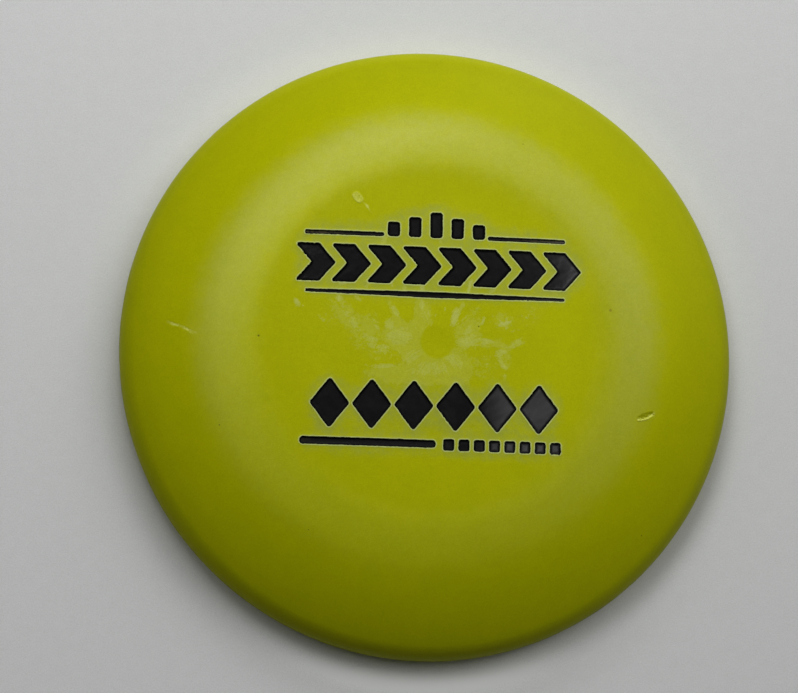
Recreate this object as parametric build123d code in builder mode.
from build123d import *
import os
from math import asin, degrees, sin, tan, radians

# Mini golf driver disc: one injection-moulded disc (flight plate and rim in a
# single piece) with two hot-stamped marks in the middle of the flight plate.
# Millimetres and degrees.  The origin is on the disc's axis in the plane it rests
# on, +Z is up out of the flight plate, and +X is the reading direction of the stamps.

os.makedirs("parts", exist_ok=True)

# ---------------------------------------------------------- sizes of the moulding
disc_radius = 51.0            # over the parting line
disc_height = 15.5            # rest face to the crown of the flight plate
plate_thickness = 1.75
underside_height = disc_height - plate_thickness  # at the axis

parting_proud = 0.05          # how far the parting line stands out of the nose
parting_width = 0.20          # along Z
parting_depth = 0.6           # radial, most of it buried in the nose
nose_r = disc_radius - parting_proud

# The top surface is a chain of tangent arcs from the crown to the nose.  Each
# pair is the distance from the axis and the downward slope where an arc ends.
crown_r, crown_slope = 28.6, 2.4               # gently crowned flight plate
shoulder_r, shoulder_slope = 30.8, 9.0         # the soft line round the flight plate
midwing_r, midwing_slope = 39.5, 21.0          # inner wing
outwing_r, outwing_slope = nose_r - 2.3, 34.0  # outer wing, down to the nose

under_wing_r = 40.6           # where the underside turns into the cove
cove_radius = 2.4             # cove between the plate's underside and the rim
rim_draft = 2.0               # draft on the rim's inner wall
lower_nose_radius = 2.6
lower_bevel_angle = 19.0      # the bevel from the nose to the rest face
inner_corner_radius = 0.5
outer_corner_radius = 0.8

# The gate, where the plastic entered: a shallow dish in the crown, and the
# trimmed stub of the sprue under it.
dish_radius = 2.7             # where the dish's sphere is back at crown height
dish_depth = 0.08
dish_arc_angle = 45           # takes the cutting sphere well clear of the crown
dish_sphere_radius = (dish_radius**2 + dish_depth**2) / (2 * dish_depth)
stub_radius = 1.7
stub_length = 0.6
stub_flare = 0.5              # how much wider the stub is at its root
stub_flare_end = 0.55 * stub_length
stub_overlap = 0.4            # how far the stub runs up into the plate
stub_root_drop = 0.02         # full root width continues this far below the plate

# ----------------------------------------------------------- sizes of the stamps
foil_thickness = 0.08
recess_depth = 0.16           # the hot die pushes the foil below the surface
side_gap = 0.03               # all round each foil, in the plane of the plate
stamp_base = disc_height - 2.0  # the outlines are extruded through the crown from here
stamp_extrusion = 3
pocket_headroom = 2           # pocket cutter above the edge of the recess floor


def arc_radius(start_r, start_slope, end_r, end_slope):
    """Radius of the arc between two distances from the axis with these slopes."""
    return (end_r - start_r) / (sin(radians(end_slope)) - sin(radians(start_slope)))


crown_radius = arc_radius(0, 0, crown_r, crown_slope)
shoulder_radius = arc_radius(crown_r, crown_slope, shoulder_r, shoulder_slope)
midwing_radius = arc_radius(shoulder_r, shoulder_slope, midwing_r, midwing_slope)
outwing_radius = arc_radius(midwing_r, midwing_slope, outwing_r, outwing_slope)
nose_radius = arc_radius(outwing_r, outwing_slope, nose_r, 90)

# The underside follows the top at plate_thickness as far as under_wing_r.
under_midwing_radius = midwing_radius - plate_thickness
under_shoulder_r = shoulder_r - plate_thickness * sin(radians(shoulder_slope))
under_wing_slope = degrees(
    asin(sin(radians(shoulder_slope)) + (under_wing_r - under_shoulder_r) / under_midwing_radius)
)

# The recess floor and the foil's top are spheres concentric with the crown.
recess_floor_height = disc_height - recess_depth  # at the axis
recess_floor_radius = crown_radius - recess_depth
foil_top_height = recess_floor_height + foil_thickness
foil_top_radius = recess_floor_radius + foil_thickness


# ------------------------------------------------- outlines of the foil pieces
# All in the plane of the flight plate, seen from above.
def slot_outline(centre_x, centre_y, length, width):
    """A bar along X with fully rounded ends."""
    with BuildSketch() as outline:
        with Locations((centre_x, centre_y)):
            SlotOverall(length, width)
    return outline.sketch


def polygon_outline(polygons, corner_radius):
    """Closed polygons with every corner rounded."""
    with BuildSketch() as outline:
        for points in polygons:
            with BuildLine():
                Polyline(*points, close=True)
            make_face()
        fillet(outline.vertices(), radius=corner_radius)
    return outline.sketch


def upper_bars_outline():
    """Five upright rounded bars on one foot line, the tallest in the middle."""
    foot_y = 17.2
    middle_x = -0.4
    width = 2.0
    pitch = 3.5
    corner_radius = 0.45
    heights = [2.4, 3.3, 4.2, 3.3, 2.4]
    with BuildSketch() as outline:
        for i, height in enumerate(heights):
            with Locations(((i - 2) * pitch + middle_x, foot_y + height / 2)):
                RectangleRounded(width, height, corner_radius)
    return outline.sketch


def chevrons_outline():
    """Eight chevrons in a row, all pointing towards +X."""
    count = 8
    pitch = 5.78
    first_x = -23.4
    low_y, high_y = 9.35, 15.6
    middle_y = (low_y + high_y) / 2
    stroke = 3.9              # width of the arms along X
    point_lead = 2.7          # how far the point leads the ends
    polygons = []
    for i in range(count):
        x = first_x + i * pitch
        polygons.append([
            (x, low_y),
            (x + stroke, low_y),
            (x + stroke + point_lead, middle_y),
            (x + stroke, high_y),
            (x, high_y),
            (x + point_lead, middle_y),
        ])
    return polygon_outline(polygons, corner_radius=0.28)


def tapered_rule_outline():
    """One long rule that thickens towards its middle."""
    rule_y = 7.75
    left_x, middle_x, right_x = -21.6, -0.35, 20.9
    end_below, end_above = 0.20, 0.22        # reach from rule_y at the ends
    middle_below, middle_above = 0.52, 0.40  # reach from rule_y in the middle
    points = [
        (left_x, rule_y - end_below),
        (middle_x, rule_y - middle_below),
        (right_x, rule_y - end_below),
        (right_x, rule_y + end_above),
        (middle_x, rule_y + middle_above),
        (left_x, rule_y + end_above),
    ]
    return polygon_outline([points], corner_radius=0.12)


def diamonds_outline():
    """Six rounded diamonds in a row, point to point."""
    count = 6
    pitch = 6.84
    row_x, row_y = -0.2, -10.5  # middle of the row
    half_width = 6.45 / 2
    half_height = 8.32 / 2
    polygons = []
    for i in range(count):
        x = (i - (count - 1) / 2) * pitch + row_x
        polygons.append([
            (x - half_width, row_y),
            (x, row_y - half_height),
            (x + half_width, row_y),
            (x, row_y + half_height),
        ])
    return polygon_outline(polygons, corner_radius=0.4)


def blocks_outline():
    """Eight small rounded blocks, on the +X side of the round bar."""
    count = 8
    pitch = 2.5
    first_x, row_y = 2.2, -16.75
    width, height = 1.75, 1.85
    corner_radius = 0.35
    with BuildSketch() as outline:
        for i in range(count):
            with Locations((first_x + i * pitch, row_y)):
                RectangleRounded(width, height, corner_radius)
    return outline.sketch


upper_rule_y = 17.45          # one thin rule either side of the upper bars
upper_rule_width = 0.62

foil_outlines = {
    "upper_rule_left_foil": slot_outline(-15.45, upper_rule_y, 12.9, upper_rule_width),
    "upper_rule_right_foil": slot_outline(14.5, upper_rule_y, 12.8, upper_rule_width),
    "upper_bar_foils": upper_bars_outline(),
    "chevron_band_foils": chevrons_outline(),
    "tapered_rule_foil": tapered_rule_outline(),
    "diamond_band_foils": diamonds_outline(),
    "round_bar_foil": slot_outline(centre_x=-10.95, centre_y=-16.7, length=22.1, width=1.2),
    "small_block_foils": blocks_outline(),
}


# ------------------------------------------------------------- the foil pieces
def build_foil_sheet():
    """The whole layer of foil, between the recess floor and the foil's top."""
    with BuildPart() as sheet:
        with BuildSketch(Plane.XZ):
            with BuildLine():
                low = JernArc((0, recess_floor_height), (1, 0), recess_floor_radius, -crown_slope)
                high = JernArc((0, foil_top_height), (1, 0), foil_top_radius, -crown_slope)
                Line(low @ 1, high @ 1)
                Line(low @ 0, high @ 0)
            make_face()
        revolve(axis=Axis.Z)
    return sheet.part


def build_foil(outline, sheet):
    """The part of the foil sheet inside one outline, at even thickness."""
    with BuildPart() as foil:
        with BuildSketch(Plane.XY.offset(stamp_base)):
            add(outline)
        extrude(amount=stamp_extrusion)
        add(sheet, mode=Mode.INTERSECT)
    return foil.part


def build_stamp_pockets():
    """Cutter for the recesses: the outlines side_gap larger, down to the recess floor."""
    with BuildPart() as pockets:
        with BuildSketch(Plane.XY.offset(stamp_base)):
            for outline in foil_outlines.values():
                add(outline)
            offset(amount=side_gap, kind=Kind.ARC)
        extrude(amount=stamp_extrusion)
        with BuildSketch(Plane.XZ):
            with BuildLine():
                floor = JernArc((0, recess_floor_height), (1, 0), recess_floor_radius, -crown_slope)
                edge_r = (floor @ 1).X
                above = (floor @ 1).Y + pocket_headroom
                Line(floor @ 1, (edge_r, above))
                Line((edge_r, above), (0, above))
                Line((0, above), floor @ 0)
            make_face()
        revolve(axis=Axis.Z, mode=Mode.INTERSECT)
    return pockets.part


# ---------------------------------------------------------------- the disc body
def build_disc_body(pockets):
    shoulder_turn = shoulder_slope - crown_slope
    with BuildPart() as body:
        with BuildSketch(Plane.XZ):
            with BuildLine():
                # Top surface, crown to nose.
                crown = JernArc((0, disc_height), (1, 0), crown_radius, -crown_slope)
                shoulder = JernArc(crown @ 1, crown % 1, shoulder_radius, -shoulder_turn)
                midwing = JernArc(
                    shoulder @ 1, shoulder % 1, midwing_radius, -(midwing_slope - shoulder_slope)
                )
                outwing = JernArc(
                    midwing @ 1, midwing % 1, outwing_radius, -(outwing_slope - midwing_slope)
                )
                nose = JernArc(outwing @ 1, outwing % 1, nose_radius, -(90 - outwing_slope))
                # Round the nose and down the lower bevel to the rest face.
                lower_nose = JernArc(
                    nose @ 1, nose % 1, lower_nose_radius, -(90 - lower_bevel_angle)
                )
                bevel_start = lower_nose @ 1
                rest_outer_r = bevel_start.X - bevel_start.Y / tan(radians(lower_bevel_angle))
                Line(bevel_start, (rest_outer_r, 0))
                # Underside of the flight plate, crown to cove.
                under_crown = JernArc(
                    (0, underside_height), (1, 0), crown_radius - plate_thickness, -crown_slope
                )
                under_shoulder = JernArc(
                    under_crown @ 1,
                    under_crown % 1,
                    shoulder_radius - plate_thickness,
                    -shoulder_turn,
                )
                under_wing = JernArc(
                    under_shoulder @ 1,
                    under_shoulder % 1,
                    under_midwing_radius,
                    -(under_wing_slope - shoulder_slope),
                )
                cove = JernArc(
                    under_wing @ 1,
                    under_wing % 1,
                    cove_radius,
                    -(90 - rim_draft - under_wing_slope),
                )
                # The rim's drafted inner wall, the rest face, and the axis.
                rest_inner_r = (cove @ 1).X + (cove @ 1).Y * tan(radians(rim_draft))
                Line(cove @ 1, (rest_inner_r, 0))
                Line((rest_inner_r, 0), (rest_outer_r, 0))
                Line((0, underside_height), (0, disc_height))
            make_face()
        revolve(axis=Axis.Z)

        # Round the rest face: its shortest edge is the inner one.  The edges are
        # selected again for the outer one because the first fillet changes them.
        rest_edges = body.edges().filter_by(GeomType.CIRCLE).group_by(Axis.Z)[0]
        fillet(rest_edges.sort_by(SortBy.LENGTH)[0], radius=inner_corner_radius)
        rest_edges = body.edges().filter_by(GeomType.CIRCLE).group_by(Axis.Z)[0]
        fillet(rest_edges.sort_by(SortBy.LENGTH)[-1], radius=outer_corner_radius)

        # Parting line of the mould, a fine raised band round the nose.
        with BuildSketch(Plane.XZ):
            with Locations((disc_radius - parting_depth / 2, (nose @ 1).Y)):
                Rectangle(parting_depth, parting_width)
        revolve(axis=Axis.Z)

        # Shallow dish over the gate.
        with BuildSketch(Plane.XZ):
            with BuildLine():
                dish = JernArc(
                    (0, disc_height - dish_depth), (1, 0), dish_sphere_radius, dish_arc_angle
                )
                Line(dish @ 1, (0, (dish @ 1).Y))
                Line((0, (dish @ 1).Y), dish @ 0)
            make_face()
        revolve(axis=Axis.Z, mode=Mode.SUBTRACT)

        # Trimmed stub of the sprue, flared where it leaves the underside.
        with BuildSketch(Plane.XZ):
            with BuildLine():
                Polyline(
                    (0, underside_height + stub_overlap),
                    (stub_radius + stub_flare, underside_height + stub_overlap),
                    (stub_radius + stub_flare, underside_height - stub_root_drop),
                    (stub_radius, underside_height - stub_flare_end),
                    (stub_radius, underside_height - stub_length),
                    (0, underside_height - stub_length),
                    close=True,
                )
            make_face()
        revolve(axis=Axis.Z)

        add(pockets, mode=Mode.SUBTRACT)
    return body.part


# ----------------------------------------------------------------------- output
foil_sheet = build_foil_sheet()
pieces = {name: build_foil(outline, foil_sheet) for name, outline in foil_outlines.items()}
pieces["disc_body"] = build_disc_body(build_stamp_pockets())

for name, piece in pieces.items():
    piece.label = name
    export_step(piece, f"parts/{name}.step")
